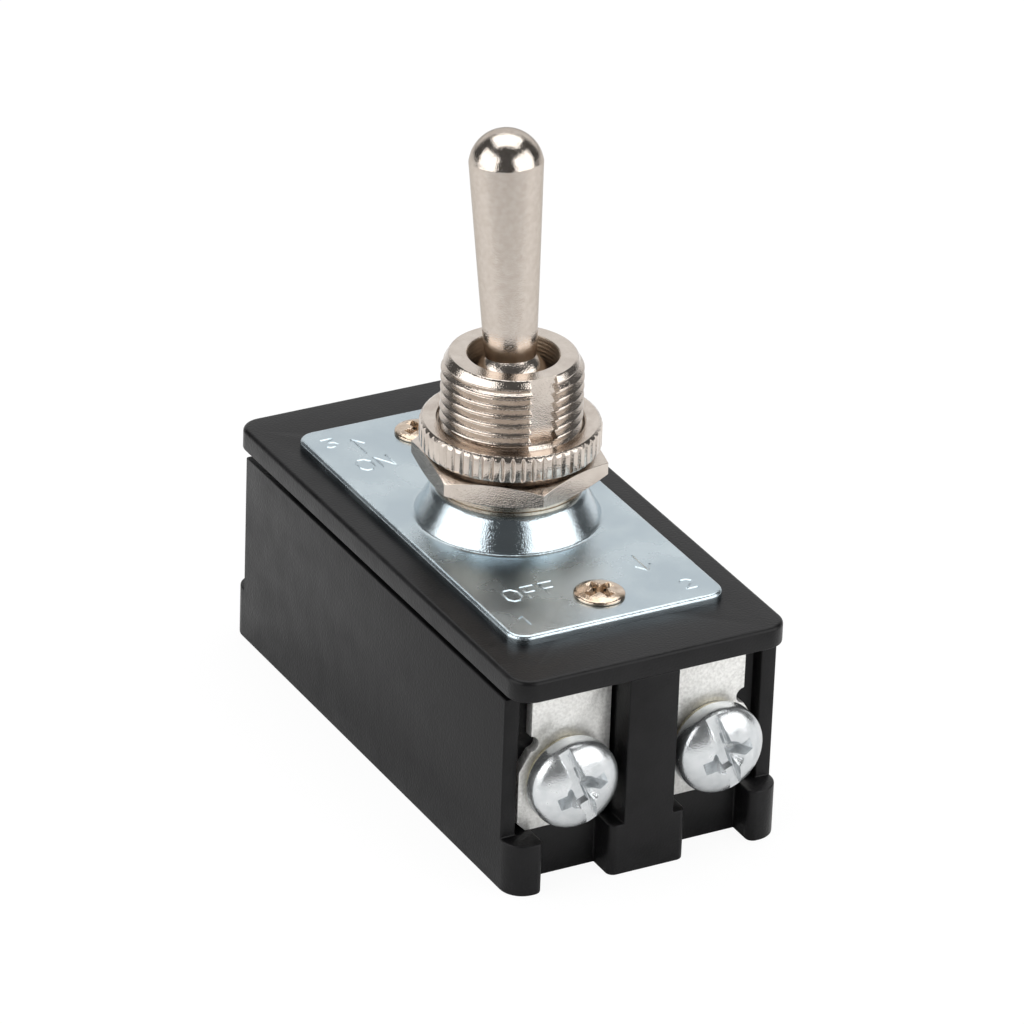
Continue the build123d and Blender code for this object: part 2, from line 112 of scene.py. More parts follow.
world = bpy.data.worlds.new("studio")
bpy.context.scene.world = world
world.use_nodes = True
nodes, links = world.node_tree.nodes, world.node_tree.links
nodes.clear()
direction = nodes.new("ShaderNodeTexCoord")
wall = nodes.new("ShaderNodeVectorMath")
wall.operation = "DOT_PRODUCT"
wall.inputs[1].default_value = (-back.x, -back.y, 0)
links.new(direction.outputs["Generated"], wall.inputs[0])
fade = nodes.new("ShaderNodeMapRange")
fade.interpolation_type = "SMOOTHSTEP"
fade.inputs["From Min"].default_value = wall_from
fade.inputs["From Max"].default_value = wall_to
fade.inputs["To Min"].default_value = dim_wall
fade.inputs["To Max"].default_value = pale_wall
links.new(wall.outputs["Value"], fade.inputs["Value"])
ray = nodes.new("ShaderNodeLightPath")
seen = nodes.new("ShaderNodeMixShader")
glossy = nodes.new("ShaderNodeMath")
glossy.operation = "MAXIMUM"
links.new(ray.outputs["Is Glossy Ray"], glossy.inputs[0])
links.new(ray.outputs["Is Transmission Ray"], glossy.inputs[1])
room = nodes.new("ShaderNodeBackground")
room.inputs["Color"].default_value = (1, 1, 1, 1)
room.inputs["Strength"].default_value = room_level
wall_light = nodes.new("ShaderNodeBackground")
wall_light.inputs["Color"].default_value = (1, 1, 1, 1)
links.new(fade.outputs["Result"], wall_light.inputs["Strength"])
reflected = nodes.new("ShaderNodeMixShader")
links.new(glossy.outputs["Value"], reflected.inputs["Fac"])
links.new(room.outputs["Background"], reflected.inputs[1])
links.new(wall_light.outputs["Background"], reflected.inputs[2])
backdrop = nodes.new("ShaderNodeBackground")
backdrop.inputs["Color"].default_value = (1, 1, 1, 1)
backdrop.inputs["Strength"].default_value = backdrop_level
links.new(ray.outputs["Is Camera Ray"], seen.inputs["Fac"])
links.new(reflected.outputs["Shader"], seen.inputs[1])
links.new(backdrop.outputs["Background"], seen.inputs[2])
world_output = nodes.new("ShaderNodeOutputWorld")
links.new(seen.outputs["Shader"], world_output.inputs["Surface"])

bpy.ops.mesh.primitive_plane_add(size=table_size, location=(0, 0, -table_drop * mm))
table = bpy.context.object
table.name = "table"
paper = bpy.data.materials.new("white_paper")
paper.use_nodes = True
nodes, links = paper.node_tree.nodes, paper.node_tree.links
nodes.clear()
matt = nodes.new("ShaderNodeBsdfDiffuse")
spot_on_table = nodes.new("ShaderNodeTexCoord")
ahead = nodes.new("ShaderNodeVectorMath")
ahead.operation = "DOT_PRODUCT"
ahead.inputs[1].default_value = (back.x, back.y, 0)
links.new(spot_on_table.outputs["Object"], ahead.inputs[0])
# Painted shade: the table's colour darkens towards the camera, so the metal parts reflect a darker
# table in front of them. The camera sees this only faintly, through the glow.
painted_front_shade = nodes.new("ShaderNodeMapRange")
painted_front_shade.interpolation_type = "SMOOTHSTEP"
painted_front_shade.inputs["From Min"].default_value = near_from * mm
painted_front_shade.inputs["From Max"].default_value = near_to * mm
painted_front_shade.inputs["To Min"].default_value = paper_far
painted_front_shade.inputs["To Max"].default_value = paper_painted_shade
links.new(ahead.outputs["Value"], painted_front_shade.inputs["Value"])
links.new(painted_front_shade.outputs["Result"], matt.inputs["Color"])
glow = nodes.new("ShaderNodeEmission")
glow.inputs["Strength"].default_value = paper_glow
ray = nodes.new("ShaderNodeLightPath")
share = nodes.new("ShaderNodeMath")
share.operation = "MULTIPLY"
share.inputs[1].default_value = glow_share
links.new(ray.outputs["Is Camera Ray"], share.inputs[0])
blend = nodes.new("ShaderNodeMixShader")
links.new(share.outputs["Value"], blend.inputs["Fac"])
links.new(matt.outputs["BSDF"], blend.inputs[1])
links.new(glow.outputs["Emission"], blend.inputs[2])
underside = nodes.new("ShaderNodeNewGeometry")
clear = nodes.new("ShaderNodeBsdfTransparent")
one_sided = nodes.new("ShaderNodeMixShader")
links.new(underside.outputs["Backfacing"], one_sided.inputs["Fac"])
links.new(blend.outputs["Shader"], one_sided.inputs[1])
links.new(clear.outputs["BSDF"], one_sided.inputs[2])
paper_output = nodes.new("ShaderNodeOutputMaterial")
links.new(one_sided.outputs["Shader"], paper_output.inputs["Surface"])
table.data.materials.append(paper)


# Base housing: one moulding of black phenolic, with four terminal bays, a centre rib at each end
# and small feet. Its outer edges are a little rounded, as they come out of the mould.
base_rounding = 0.22


def surface(name, dark, light, patch, metallic, rough, grain, depth):
    """A finish with patches of two colours, an uneven gloss and a fine grain.

    patch and grain are the sizes of the marks and depth the depth of the grain, in millimetres.
    rough is the range of the roughness.
    """
    colour_from, colour_to, gloss_from, gloss_to = 0.36, 0.64, 0.3, 0.7
    material = bpy.data.materials.new(name)
    material.use_nodes = True
    nodes, links = material.node_tree.nodes, material.node_tree.links
    shader = nodes["Principled BSDF"]
    shader.inputs["Metallic"].default_value = metallic
    where = nodes.new("ShaderNodeTexCoord")
    where.name = "where"
    patches = nodes.new("ShaderNodeTexNoise")
    patches.inputs["Scale"].default_value = 1 / (patch * mm)
    patches.inputs["Detail"].default_value = 6
    links.new(where.outputs["Object"], patches.inputs["Vector"])
    colours = nodes.new("ShaderNodeValToRGB")
    colours.name = "colours"
    colours.color_ramp.elements[0].position = colour_from
    colours.color_ramp.elements[0].color = (*dark, 1)
    colours.color_ramp.elements[1].position = colour_to
    colours.color_ramp.elements[1].color = (*light, 1)
    links.new(patches.outputs["Fac"], colours.inputs["Fac"])
    links.new(colours.outputs["Color"], shader.inputs["Base Color"])
    gloss = nodes.new("ShaderNodeMapRange")
    gloss.name = "gloss"
    gloss.inputs["From Min"].default_value = gloss_from
    gloss.inputs["From Max"].default_value = gloss_to
    gloss.inputs["To Min"].default_value = rough[0]
    gloss.inputs["To Max"].default_value = rough[1]
    links.new(patches.outputs["Fac"], gloss.inputs["Value"])
    links.new(gloss.outputs["Result"], shader.inputs["Roughness"])
    grains = nodes.new("ShaderNodeTexNoise")
    grains.name = "grains"
    grains.inputs["Scale"].default_value = 1 / (grain * mm)
    grains.inputs["Detail"].default_value = 0.5
    links.new(where.outputs["Object"], grains.inputs["Vector"])
    relief = nodes.new("ShaderNodeBump")
    relief.name = "relief"
    relief.inputs["Distance"].default_value = depth * mm
    links.new(grains.outputs["Fac"], relief.inputs["Height"])
    links.new(relief.outputs["Normal"], shader.inputs["Normal"])
    return material


def smooth(piece, angle=30):
    """Shade a piece smooth, but for the edges that turn by more than the angle."""
    bpy.ops.object.select_all(action="DESELECT")
    piece.select_set(True)
    bpy.context.view_layer.objects.active = piece
    bpy.ops.object.shade_smooth_by_angle(angle=radians(angle))


def soften(piece, width, segments=2, angle=30):
    """Round off the edges of a piece that turn by more than the angle."""
    edges = piece.modifiers.new("soft edges", "BEVEL")
    edges.width = width * mm
    edges.segments = segments
    edges.limit_method = "ANGLE"
    edges.angle_limit = radians(angle)
    edges.use_clamp_overlap = True
    bpy.ops.object.select_all(action="DESELECT")
    piece.select_set(True)
    bpy.context.view_layer.objects.active = piece
    bpy.ops.object.modifier_apply(modifier=edges.name)


def moulded_from(node, name, width, segments=2):
    """A copy of a node of the frame with its triangles joined and its edges rounded off."""
    piece = bpy.data.objects.new(name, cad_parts[node].data.copy())
    bpy.context.collection.objects.link(piece)
    bpy.ops.object.select_all(action="DESELECT")
    piece.select_set(True)
    bpy.context.view_layer.objects.active = piece
    bpy.ops.mesh.customdata_custom_splitnormals_clear()
    bpy.ops.object.mode_set(mode="EDIT")
    bpy.ops.mesh.select_all(action="SELECT")
    bpy.ops.mesh.remove_doubles(threshold=0.0005 * mm)
    bpy.ops.mesh.dissolve_limited(angle_limit=radians(0.6))
    bpy.ops.object.mode_set(mode="OBJECT")
    soften(piece, width, segments)
    smooth(piece)
    piece.data.materials.clear()
    return piece


black_phenolic = surface(
    "black_phenolic",
    (0.0035, 0.0034, 0.0038), (0.0065, 0.0062, 0.0068), 2.6, 0.0, (0.3, 0.42), 0.2, 0.016,
)
phenolic_shader = black_phenolic.node_tree.nodes["Principled BSDF"]
phenolic_shader.inputs["Specular IOR Level"].default_value = 0.235
base = moulded_from("base_housing", "housing_moulding", base_rounding, 3)
base.data.materials.append(black_phenolic)
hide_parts("base_housing")
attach(base, "housing")


# Cover: a slab of the same phenolic laid over the open top of the base and held down by the plate's
# two screws. Its lower edge casts a thin dark line over the walls.
cover_rounding = 0.18
lid = moulded_from("cover", "cover_moulding", cover_rounding, 3)
lid.data.materials.append(black_phenolic)
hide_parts("cover")
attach(lid, "housing")


# Mounting plate: steel sheet with round corners and a soft rim, pressed up into a cone round the
# bushing and plated with blue zinc. ON, OFF, an arrow beside each and the terminals' numbers are
# stamped in it, and two holes take its screws.
plate_half_x, plate_half_y, plate_low, plate_high = 10.0, 20.1, 20.0, 20.8
plate_middle = (plate_low + plate_high) / 2
plate_corner, plate_rim = 1.7, 0.34
plate_screw_y, plate_hole = 16.0, 1.2
cone_outline = [
    (0, 20.3), (8.34, 20.3), (8.34, 20.79), (8.1, 20.81), (7.96, 20.86), (7.86, 20.95),
    (7.78, 21.09), (6.75, 23.0), (6.62, 23.24), (6.47, 23.44), (6.3, 23.56), (6.1, 23.6),
    (0, 23.6),
]
hollow_outline = [
    (0, 19.5), (7.47, 19.5), (5.7, 22.8), (5.06, 22.8), (5.06, 23.52), (5.24, 23.7), (0, 23.7),
]
stamp_radius, stamp_squash, stamp_lift, stamp_overlap = 0.15, 0.45, 0.012, 0.08
flat_top, cone_start, flat_dulling = 20.81, 21.2, 2.0


def draw(name, points):
    """Draw an outline from point to point in the XZ plane; a point is (radius, height)."""
    bpy.ops.object.select_all(action="DESELECT")
    bpy.ops.mesh.primitive_plane_add(size=mm)
    piece = bpy.context.object
    piece.name = name
    bpy.ops.object.mode_set(mode="EDIT")
    bpy.ops.mesh.select_mode(type="VERT")
    bpy.ops.mesh.select_all(action="SELECT")
    bpy.ops.mesh.merge(type="CENTER")
    bpy.ops.mesh.select_all(action="SELECT")
    start = points[0]
    bpy.ops.transform.translate(value=(start[0] * mm, 0, start[1] * mm))
    for last, point in zip(points, points[1:]):
        step = ((point[0] - last[0]) * mm, 0, (point[1] - last[1]) * mm)
        bpy.ops.mesh.extrude_region_move(TRANSFORM_OT_translate={"value": step})
    bpy.ops.object.mode_set(mode="OBJECT")
    return piece


def turned(name, points, steps=128):
    """Turn an outline round the Z axis, as on a lathe."""
    piece = draw(name, points)
    bpy.ops.object.mode_set(mode="EDIT")
    bpy.ops.mesh.select_all(action="SELECT")
    bpy.ops.mesh.spin(steps=steps, angle=2 * pi, center=(0, 0, 0), axis=(0, 0, 1))
    bpy.ops.mesh.select_all(action="SELECT")
    bpy.ops.mesh.remove_doubles(threshold=0.0005 * mm)
    bpy.ops.mesh.normals_make_consistent(inside=False)
    bpy.ops.object.mode_set(mode="OBJECT")
    return piece


def combine(piece, tool, how="DIFFERENCE"):
    """Cut a tool out of a piece, join it on or keep what both share; the tool is used up.

    The solver leaves an empty material slot on the piece, which is cleared.
    """
    change = piece.modifiers.new(how.lower(), "BOOLEAN")
    change.operation = how
    change.solver = "MANIFOLD"
    change.object = tool
    bpy.ops.object.select_all(action="DESELECT")
    piece.select_set(True)
    bpy.context.view_layer.objects.active = piece
    bpy.ops.object.modifier_apply(modifier=change.name)
    piece.data.materials.clear()
    bpy.data.objects.remove(tool)


def select_where(piece, kind, test):
    """Select the edges or faces whose middle, in millimetres, passes a test."""
    bpy.ops.mesh.select_mode(type=kind)
    bpy.ops.mesh.select_all(action="DESELECT")
    shape = bmesh.from_edit_mesh(piece.data)
    for item in {"EDGE": shape.edges, "FACE": shape.faces}[kind]:
        ends = [vertex.co for vertex in item.verts]
        if test(sum(ends, Vector()) / len(ends) / mm):
            item.select_set(True)
    bmesh.update_edit_mesh(piece.data)


bpy.ops.object.select_all(action="DESELECT")
bpy.ops.mesh.primitive_cube_add(size=mm, location=(0, 0, plate_middle * mm))
plate = bpy.context.object
plate.name = "zinc_plate"
plate.scale = (2 * plate_half_x, 2 * plate_half_y, plate_high - plate_low)
bpy.ops.object.transform_apply(location=True, rotation=True, scale=True)
bpy.ops.object.mode_set(mode="EDIT")
select_where(
    plate, "EDGE", lambda spot: abs(spot.z - plate_middle) < 0.01 and abs(spot.x * spot.y) > 1
)
bpy.ops.mesh.bevel(offset=plate_corner * mm, segments=10, affect="EDGES")
select_where(plate, "EDGE", lambda spot: spot.z > plate_high - 0.01)
bpy.ops.mesh.bevel(offset=plate_rim * mm, segments=5, affect="EDGES")
bpy.ops.object.mode_set(mode="OBJECT")
combine(plate, turned("raised_cone", cone_outline, 160), "UNION")
combine(plate, turned("cone_hollow", hollow_outline, 160))
for end in (-1, 1):
    bpy.ops.mesh.primitive_cylinder_add(
        vertices=48, radius=plate_hole * mm, depth=2 * mm,
        location=(0, end * plate_screw_y * mm, plate_low * mm),
    )
    hole = bpy.context.object
    bpy.ops.object.transform_apply(location=True, rotation=True, scale=True)
    combine(plate, hole)
stamps = []


def stamp(place, size, strokes):
    """Add a tool that cuts thin V grooves.

    The strokes are points on a grid one high, which starts at the place and has the size given.
    """
    tool = None
    for stroke in strokes:
        spots = [
            Vector((place[0] + size * x, place[1] + size * y, plate_high)) * mm for x, y in stroke
        ]
        for start, end in zip(spots, spots[1:]):
            bpy.ops.object.select_all(action="DESELECT")
            bpy.ops.mesh.primitive_cylinder_add(
                vertices=4, radius=stamp_radius * mm,
                depth=(end - start).length + stamp_overlap * mm, location=(start + end) / 2,
            )
            groove = bpy.context.object
            groove.rotation_euler = (end - start).to_track_quat("Z", "Y").to_euler()
            bpy.ops.object.transform_apply(location=True, rotation=True, scale=True)
            groove.scale.z = stamp_squash
            groove.location.z = (plate_high * (1 - stamp_squash) + stamp_lift) * mm
            bpy.ops.object.transform_apply(location=True, rotation=True, scale=True)
            if tool:
                combine(tool, groove, "UNION")
            else:
                tool = groove
    stamps.append(tool)


letter_o = [
    (0, 0.25), (0, 0.75), (0.2, 1), (0.5, 1), (0.7, 0.75), (0.7, 0.25), (0.5, 0), (0.2, 0),
    (0, 0.25),
]
letter_n = [(0, 0), (0, 1), (0.6, 0), (0.6, 1)]
letter_f = [[(0, 0), (0, 1), (0.6, 1)], [(0, 0.5), (0.45, 0.5)]]
arrow = [[(0, 0), (0, 1)], [(-0.25, 0.65), (0, 1), (0.25, 0.65)]]
number_1 = [(0, 0.75), (0.25, 1), (0.25, 0)]
number_2 = [(0, 0.8), (0.2, 1), (0.5, 1), (0.7, 0.8), (0.7, 0.6), (0, 0), (0.7, 0)]
number_3 = [
    (0, 1), (0.7, 1), (0.3, 0.6), (0.6, 0.5), (0.7, 0.25), (0.5, 0), (0.15, 0), (0, 0.15),
]
number_4 = [(0.5, 0), (0.5, 1), (0, 0.3), (0.7, 0.3)]
letter_high, arrow_long, number_high = 1.9, 2.8, 1.5
stamp((-7.6, 11.6), letter_high, [letter_o])
stamp((-5.7, 11.6), letter_high, [letter_n])
stamp((-5.9, 14.4), arrow_long, arrow)
stamp((-8.4, 16.6), number_high, [number_3])
stamp((7.4, 16.6), number_high, [number_4])
stamp((-7.3, -14.2), letter_high, [letter_o])
stamp((-5.4, -14.2), letter_high, letter_f)
stamp((-3.7, -14.2), letter_high, letter_f)
stamp((5.7, -11.2), -arrow_long, arrow)
stamp((-8.0, -18.2), number_high, [number_1])
stamp((7.0, -18.2), number_high, [number_2])
bpy.ops.object.select_all(action="DESELECT")
for glyph in stamps:
    glyph.select_set(True)
bpy.context.view_layer.objects.active = stamps[0]
bpy.ops.object.join()
combine(plate, stamps[0])

blue_zinc = surface(
    "blue_zinc", (0.49, 0.57, 0.62), (0.57, 0.65, 0.69), 5.0, 1.0, (0.09, 0.16), 0.1, 0.014
)
nodes, links = blue_zinc.node_tree.nodes, blue_zinc.node_tree.links
height = nodes.new("ShaderNodeSeparateXYZ")
links.new(nodes["where"].outputs["Object"], height.inputs["Vector"])
drawn = nodes.new("ShaderNodeMapRange")
drawn.inputs["From Min"].default_value = flat_top * mm
drawn.inputs["From Max"].default_value = cone_start * mm
drawn.inputs["To Min"].default_value = flat_dulling
drawn.inputs["To Max"].default_value = 1.0
links.new(height.outputs["Z"], drawn.inputs["Value"])
satin = nodes.new("ShaderNodeMath")
satin.operation = "MULTIPLY"
links.new(drawn.outputs["Result"], satin.inputs[0])
links.new(nodes["gloss"].outputs["Result"], satin.inputs[1])
links.new(satin.outputs["Value"], nodes["Principled BSDF"].inputs["Roughness"])
smooth(plate, 40)
bpy.ops.object.mode_set(mode="EDIT")
select_where(plate, "FACE", lambda spot: abs(spot.z - plate_high) < 0.0005)
bpy.ops.mesh.faces_shade_flat()
bpy.ops.object.mode_set(mode="OBJECT")
plate.data.materials.append(blue_zinc)
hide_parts("mounting_plate")
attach(plate, "housing")


# Plate screws: two small steel pan heads with a cross recess, in a warmer plating than the terminal
# screws. They hold the plate and the cover down on the base.
small_screw_outline = (
    [(0, -9.0), (0.7, -9.0), (1.0, -8.6), (1.0, 0), (2.05, 0), (2.15, 0.06), (2.15, 0.16)]
    + [(2.15 * cos(radians(a)), 0.16 + 0.44 * sin(radians(a))) for a in range(6, 90, 6)]
    + [(0, 0.6)]
)
small_cross_turn = 15
small_cross = {"top": 0.9, "depth": 1.3, "length": 3.4, "width": 1.0, "narrow": 0.5}


def cross_recess(turned_by, top, depth, length, width, narrow):
    """A tapered cross that cuts a screw's recess.

    It stands on the Z axis, and its lower end is narrower by the factor narrow.
    """
    cutters = []
    for quarter in (0, 90):
        bpy.ops.mesh.primitive_cube_add(size=mm, location=(0, 0, (top - depth / 2) * mm))
        cutter = bpy.context.object
        bpy.ops.object.mode_set(mode="EDIT")
        bpy.ops.mesh.select_all(action="SELECT")
        bpy.ops.transform.resize(value=(width, length, depth), center_override=cutter.location)
        select_where(cutter, "FACE", lambda spot: spot.z < -0.4 * depth)
        bpy.ops.transform.resize(
            value=(narrow, narrow, 1), center_override=(0, 0, (top - depth) * mm)
        )
        bpy.ops.object.mode_set(mode="OBJECT")
        cutter.rotation_euler = (0, 0, radians(turned_by + quarter))
        bpy.ops.object.transform_apply(location=True, rotation=True, scale=True)
        cutters.append(cutter)
    combine(cutters[0], cutters[1], "UNION")
    return cutters[0]


warm_nickel = surface(
    "warm_nickel", (0.52, 0.41, 0.31), (0.72, 0.6, 0.49), 0.8, 1.0, (0.12, 0.24), 0.12, 0.015
)
for end_name, end in (("front", -1), ("rear", 1)):
    screw = turned(f"small_screw_{end_name}", small_screw_outline, 64)
    combine(screw, cross_recess(small_cross_turn, **small_cross))
    soften(screw, 0.07, 3, 40)
    smooth(screw, 35)
    screw.location = (0, end * plate_screw_y * mm, plate_high * mm)
    bpy.ops.object.transform_apply(location=True, rotation=True, scale=True)
    screw.data.materials.append(warm_nickel)
    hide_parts(f"plate_screw_{end_name}")
    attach(screw, "housing")


# Bushing: turned from brass bar and nickel plated, with a 12 mm thread, a keyway milled down its
# front and a shoulder that is riveted over the plate. The bore is dull and bare of plating.
pitch, thread_low, thread_turns = 0.87, 22.15, 16
thread_bottom, thread_top = 23.9, 35.7
thread_outline = [
    (5.48, 0), (5.5, 0.06), (5.9, 0.31), (5.97, 0.36), (6.0, 0.42), (5.97, 0.48), (5.9, 0.53),
    (5.5, 0.79), (5.48, pitch),
]
crest_outline = [
    (0, 20), (6.2, 20), (6.2, 34.22), (5.46, 35.52), (5.38, 35.64), (5.28, 35.699), (0, 35.699),
]
foot_outline = [
    (0, 21.95), (5.6, 21.95), (5.7, 22.05), (5.7, 22.75), (5.0, 22.75), (5.0, 23.6), (6.24, 23.6),
    (6.3, 23.66), (6.3, 23.92), (6.18, 23.97), (6.18, 24.07), (6.3, 24.12), (6.3, 24.39),
    (6.24, 24.45), (5.6, 24.45), (5.4, 24.7), (0, 24.7),
]
bore_outline = [
    (0, 20), (4.3, 20), (4.3, 27), (3.85, 27), (3.85, 35.6), (3.97, 35.72), (3.97, 37), (0, 37),
]
keyway_size, keyway_middle, keyway_ramp = (2.45, 1.6, 6.4), (0, -6.0, 33.0), 0.6
pivot_height, bushing_hole_radius, bushing_hole_length = 31, 0.82, 9.74
bore_edge, shoulder_top = 3.93, 24.5
bare_brass, oiled_brass, bore_roughness = (0.55, 0.48, 0.4, 1), (0.6, 0.51, 0.42, 1), 0.38
mark_scale, mark_wander = 900, 1.5

nickel = surface(
    "bright_nickel", (0.59, 0.52, 0.46), (0.69, 0.62, 0.555), 1.6, 1.0, (0.12, 0.2), 0.1, 0.015
)
bushing = draw("threaded_bushing", thread_outline)
bushing.location.z = thread_low * mm
bpy.ops.object.transform_apply(location=True, rotation=True, scale=True)
helix = bushing.modifiers.new("thread", "SCREW")
helix.screw_offset = pitch * mm
helix.iterations = thread_turns
helix.steps = 120
helix.render_steps = 120
bpy.ops.object.modifier_apply(modifier=helix.name)
bpy.ops.object.mode_set(mode="EDIT")
bpy.ops.mesh.select_all(action="SELECT")
bpy.ops.mesh.remove_doubles(threshold=0.001 * mm)
for level, keep_above in ((thread_bottom, True), (thread_top, False)):
    bpy.ops.mesh.select_all(action="SELECT")
    bpy.ops.mesh.bisect(
        plane_co=(0, 0, level * mm), plane_no=(0, 0, 1), use_fill=True, threshold=1e-7,
        clear_inner=keep_above, clear_outer=not keep_above,
    )
bpy.ops.mesh.select_all(action="SELECT")
bpy.ops.mesh.normals_make_consistent(inside=False)
bpy.ops.object.mode_set(mode="OBJECT")
combine(bushing, turned("crest", crest_outline), "INTERSECT")
combine(bushing, turned("foot", foot_outline), "UNION")
combine(bushing, turned("bore", bore_outline))
bpy.ops.mesh.primitive_cube_add(size=mm)
key_cutter = bpy.context.object
key_cutter.scale = keyway_size
key_cutter.location = Vector(keyway_middle) * mm
bpy.ops.object.transform_apply(location=True, rotation=True, scale=True)
bpy.ops.object.mode_set(mode="EDIT")
select_where(key_cutter, "EDGE", lambda spot: spot.z < 29.9 and spot.y < -6.4)
bpy.ops.transform.translate(value=(0, 0, -keyway_ramp * mm))
bpy.ops.object.mode_set(mode="OBJECT")
combine(bushing, key_cutter)
bpy.ops.mesh.primitive_cylinder_add(
    vertices=32, radius=bushing_hole_radius * mm, depth=bushing_hole_length * mm
)
pin_hole = bpy.context.object
pin_hole.rotation_euler = (0, pi / 2, 0)
pin_hole.location.z = pivot_height * mm
bpy.ops.object.transform_apply(location=True, rotation=True, scale=True)
combine(bushing, pin_hole)
smooth(bushing, 28)
bushing_nickel = surface(
    "nickel_over_brass", (0.61, 0.54, 0.48), (0.7, 0.63, 0.565), 1.6, 1.0, (0.09, 0.16), 0.1, 0.015
)
nodes, links = bushing_nickel.node_tree.nodes, bushing_nickel.node_tree.links
parts = nodes.new("ShaderNodeSeparateXYZ")
links.new(nodes["where"].outputs["Object"], parts.inputs["Vector"])
across = nodes.new("ShaderNodeVectorMath")
across.operation = "MULTIPLY"
across.inputs[1].default_value = (1, 1, 0)
links.new(nodes["where"].outputs["Object"], across.inputs[0])
radius = nodes.new("ShaderNodeVectorMath")
radius.operation = "LENGTH"
links.new(across.outputs["Vector"], radius.inputs[0])
in_bore = nodes.new("ShaderNodeMath")
in_bore.operation = "LESS_THAN"
in_bore.inputs[1].default_value = bore_edge * mm
links.new(radius.outputs["Value"], in_bore.inputs[0])
at_foot = nodes.new("ShaderNodeMath")
at_foot.operation = "LESS_THAN"
at_foot.inputs[1].default_value = shoulder_top * mm
links.new(parts.outputs["Z"], at_foot.inputs[0])
bare = nodes.new("ShaderNodeMix")
bare.data_type = "RGBA"
bare.inputs[7].default_value = bare_brass
links.new(at_foot.outputs["Value"], bare.inputs[0])
links.new(nodes["colours"].outputs["Color"], bare.inputs[6])
oiled = nodes.new("ShaderNodeMix")
oiled.data_type = "RGBA"
oiled.inputs[7].default_value = oiled_brass
links.new(in_bore.outputs["Value"], oiled.inputs[0])
links.new(bare.outputs[2], oiled.inputs[6])
links.new(oiled.outputs[2], nodes["Principled BSDF"].inputs["Base Color"])
tool_marks = nodes.new("ShaderNodeTexWave")
tool_marks.bands_direction = "Z"
tool_marks.inputs["Scale"].default_value = mark_scale
tool_marks.inputs["Distortion"].default_value = mark_wander
links.new(nodes["where"].outputs["Object"], tool_marks.inputs["Vector"])
marked = nodes.new("ShaderNodeMath")
marked.operation = "MULTIPLY_ADD"
links.new(tool_marks.outputs["Fac"], marked.inputs[0])
links.new(in_bore.outputs["Value"], marked.inputs[1])
links.new(nodes["grains"].outputs["Fac"], marked.inputs[2])
links.new(marked.outputs["Value"], nodes["relief"].inputs["Height"])
dull = nodes.new("ShaderNodeMapRange")
dull.inputs["To Max"].default_value = bore_roughness
links.new(in_bore.outputs["Value"], dull.inputs["Value"])
links.new(nodes["gloss"].outputs["Result"], dull.inputs["To Min"])
links.new(dull.outputs["Result"], nodes["Principled BSDF"].inputs["Roughness"])
bushing.data.materials.append(bushing_nickel)
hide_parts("bushing")
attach(bushing, "housing")


# Hex nut: brass blank with chamfered corners and a thin washer face below, nickel plated. It is
# screwed down on the shoulder.
across_flats, hexagon_height, hexagon_middle, hexagon_turn = 14.5, 1.95, 25.925, -8.5
chamfer_outline = [
    (0, 24.9), (7.0, 24.9), (8.45, 25.43), (8.45, 26.42), (7.0, 26.95), (0, 26.95),
]
washer_face_outline = [(0, 24.55), (6.62, 24.55), (6.7, 24.63), (6.7, 25.1), (0, 25.1)]
tapping_outline = [
    (0, 24), (6.4, 24), (6.04, 24.9), (6.04, 26.5), (6.4, 26.9), (6.4, 28), (0, 28),
]
bpy.ops.object.select_all(action="DESELECT")
bpy.ops.mesh.primitive_cylinder_add(
    vertices=6, radius=across_flats / 2 / cos(radians(30)) * mm, depth=hexagon_height * mm
)
hexagon = bpy.context.object
hexagon.name = "hexagon_nut"
hexagon.rotation_euler = (0, 0, radians(hexagon_turn))
hexagon.location.z = hexagon_middle * mm
bpy.ops.object.transform_apply(location=True, rotation=True, scale=True)
combine(hexagon, turned("chamfer", chamfer_outline, 160), "INTERSECT")
combine(hexagon, turned("washer_face", washer_face_outline, 160), "UNION")
combine(hexagon, turned("tapping", tapping_outline, 160))
soften(hexagon, 0.13, 3, 15)
smooth(hexagon, 12)
hexagon.data.materials.append(nickel)
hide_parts("hex_nut")
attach(hexagon, "hex_nut")


# Knurled nut: a thin ring with straight grooves rolled round its bevelled rim and a countersink at
# the top, of nickel plated brass.
ring_outline = [
    (6.04, 27.6), (6.3, 27.3), (7.34, 27.3), (7.55, 27.45), (7.66, 27.7), (7.66, 29.3),
    (7.55, 29.55), (7.34, 29.7), (6.3, 29.7), (6.26, 29.68), (6.04, 29.3), (6.04, 27.6),
]
groove_count, groove_radius, groove_circle, groove_middle, groove_length = 54, 0.27, 7.71, 28.5, 3
ring_nut = turned("ridged_nut", ring_outline, 3 * groove_count)
grooves = []
for number in range(groove_count):
    bpy.ops.mesh.primitive_cylinder_add(
        vertices=4, radius=groove_radius * mm, depth=groove_length * mm
    )
    groove = bpy.context.object
    angle = 2 * pi * (number + 0.5) / groove_count
    groove.rotation_euler = (0, 0, angle)
    groove.location = (
        groove_circle * cos(angle) * mm, groove_circle * sin(angle) * mm, groove_middle * mm
    )
    bpy.ops.object.transform_apply(location=True, rotation=True, scale=True)
    grooves.append(groove)
bpy.ops.object.select_all(action="DESELECT")
for groove in grooves:
    groove.select_set(True)
bpy.ops.object.join()
combine(ring_nut, bpy.context.object)
soften(ring_nut, 0.09, 3, 38)
smooth(ring_nut, 35)
ring_nut.data.materials.append(nickel)
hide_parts("knurled_nut")
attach(ring_nut, "knurled_nut")


# Lever: turned in one piece of brass and nickel plated, a satin bat handle with a polished dome
# above and a polished ball below, which rocks in the bushing on a cross pin. It leans to the rear.
lean, lever_hole_radius, lever_hole_length = radians(6.5), 0.85, 7.6
dome_start, dome_roughness, edge_tint = 52.3, 0.1, (0.72, 0.7, 0.67, 1)


